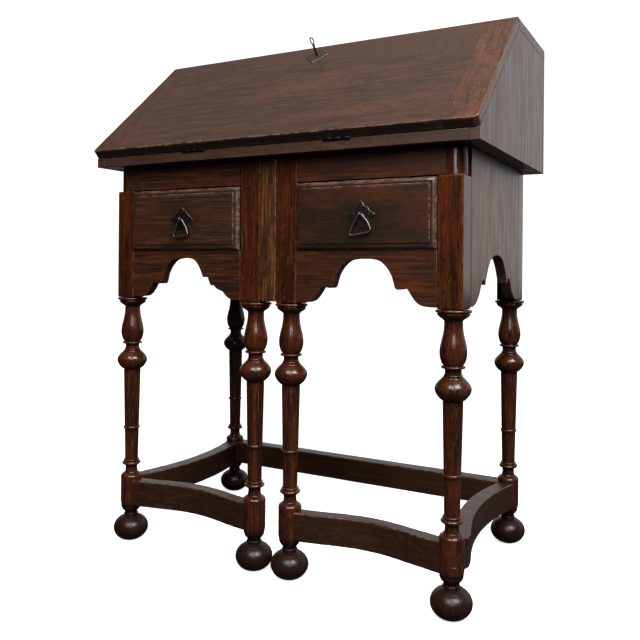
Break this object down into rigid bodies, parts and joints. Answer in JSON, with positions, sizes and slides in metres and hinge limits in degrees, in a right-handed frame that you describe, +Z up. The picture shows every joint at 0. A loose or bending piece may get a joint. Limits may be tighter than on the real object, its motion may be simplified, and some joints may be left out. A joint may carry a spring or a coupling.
{
  "type": "writing bureau",
  "caption": "Fall-front writing bureau in dark oak on a gateleg stand with turned legs, bowed stretchers, drawers and black iron fittings.",
  "frame": {"origin": "on the floor, under the middle of the bureau's bounding box", "axes": "+X to the right seen from the front, +Y to the back, +Z up"},
  "size_m": [0.76, 0.4692, 0.9799],
  "materials": {
    "oak_lid": "dark brown oak, waxed, worn at the edges",
    "oak_case": "dark brown oak, waxed",
    "oak_stand": "dark red-brown oak, waxed",
    "oak_turned": "near-black turned oak, polished",
    "oak_inside": "plain oak, unpolished",
    "black_iron": "blackened wrought iron"
  },
  "bodies": {
    "bureau": {"back_left_foot": "oak_turned", "back_left_leg": "oak_turned", "back_right_foot": "oak_turned", "back_right_leg": "oak_turned", "back_stretcher": "oak_stand", "centre_muntin": "oak_stand", "desk_back": "oak_case", "desk_bottom": "oak_case", "desk_front_strip": "oak_case", "desk_left_side": "oak_case", "desk_right_side": "oak_case", "desk_top": "oak_case", "drawer_divider": "oak_inside", "left_drawer_runner": "oak_inside", "left_front_rail": "oak_stand", "left_hinge_desk_leaf": "black_iron", "left_pivot_plate": "black_iron", "left_side_panel": "oak_stand", "left_side_stretcher": "oak_stand", "middle_drawer_runner": "oak_inside", "pigeonhole_left_divider": "oak_inside", "pigeonhole_middle_divider": "oak_inside", "pigeonhole_right_divider": "oak_inside", "pigeonhole_shelf": "oak_inside", "right_drawer_runner": "oak_inside", "right_front_rail": "oak_stand", "right_hinge_desk_leaf": "black_iron", "right_pivot_plate": "black_iron", "right_side_panel": "oak_stand", "right_side_stretcher": "oak_stand", "stand_back_panel": "oak_stand"},
    "lid": {"lid_board": "oak_lid", "lid_left_cleat": "oak_lid", "lid_right_cleat": "oak_lid", "left_hinge_lid_leaf": "black_iron", "right_hinge_lid_leaf": "black_iron", "lock_case": "black_iron", "escutcheon": "black_iron"},
    "lock_bolt": {"lock_bolt": "black_iron"},
    "key": {"key": "black_iron"},
    "left_gate": {"left_gate_outer_leg": "oak_turned", "left_gate_outer_foot": "oak_turned", "left_gate_inner_leg": "oak_turned", "left_gate_inner_foot": "oak_turned", "left_gate_apron": "oak_stand", "left_gate_stretcher": "oak_stand"},
    "left_drawer": {"left_drawer_front": "oak_stand", "left_drawer_tray": "oak_inside", "left_pull_plate": "black_iron"},
    "left_bail": {"left_pull_bail": "black_iron"},
    "right_gate": {"right_gate_outer_leg": "oak_turned", "right_gate_outer_foot": "oak_turned", "right_gate_inner_leg": "oak_turned", "right_gate_inner_foot": "oak_turned", "right_gate_apron": "oak_stand", "right_gate_stretcher": "oak_stand"},
    "right_drawer": {"right_drawer_front": "oak_stand", "right_drawer_tray": "oak_inside", "right_pull_plate": "black_iron"},
    "right_bail": {"right_pull_bail": "black_iron"}
  },
  "joints": [
    {"name": "lid_fold", "type": "hinge", "parent": "bureau", "child": "lid", "pos_m": [0, -0.22286, 0.7464], "axis": [1, 0, 0], "range_deg": [0, 138]},
    {"name": "left_gate_swing", "type": "hinge", "parent": "bureau", "child": "left_gate", "pos_m": [-0.328, -0.17736, 0.4], "axis": [0, 0, -1], "range_deg": [0, 90]},
    {"name": "left_drawer_pull_out", "type": "slide", "parent": "bureau", "child": "left_drawer", "axis": [0, -1, 0], "range_m": [0, 0.25]},
    {"name": "left_bail_lift", "type": "hinge", "parent": "left_drawer", "child": "left_bail", "pos_m": [-0.18245, -0.21086, 0.62395], "axis": [-1, 0, 0], "range_deg": [0, 85]},
    {"name": "right_gate_swing", "type": "hinge", "parent": "bureau", "child": "right_gate", "pos_m": [0.328, -0.17736, 0.4], "axis": [0, 0, 1], "range_deg": [0, 90]},
    {"name": "right_drawer_pull_out", "type": "slide", "parent": "bureau", "child": "right_drawer", "axis": [0, -1, 0], "range_m": [0, 0.25]},
    {"name": "right_bail_lift", "type": "hinge", "parent": "right_drawer", "child": "right_bail", "pos_m": [0.18245, -0.21086, 0.62395], "axis": [-1, 0, 0], "range_deg": [0, 85]},
    {"name": "lock_bolt_slide", "type": "slide", "parent": "lid", "child": "lock_bolt", "axis": [0, 0.7431, 0.6691], "range_m": [0, 0.01]},
    {"name": "key_turn", "type": "hinge", "parent": "lid", "child": "key", "pos_m": [0, -0.03312, 0.95761], "axis": [0, -0.6691, 0.7431], "range_deg": [0, 90]}
  ],
  "couplings": [
    {"joint": "key_turn", "follows": "lock_bolt_slide", "rad_per_m": 157.07}
  ]
}
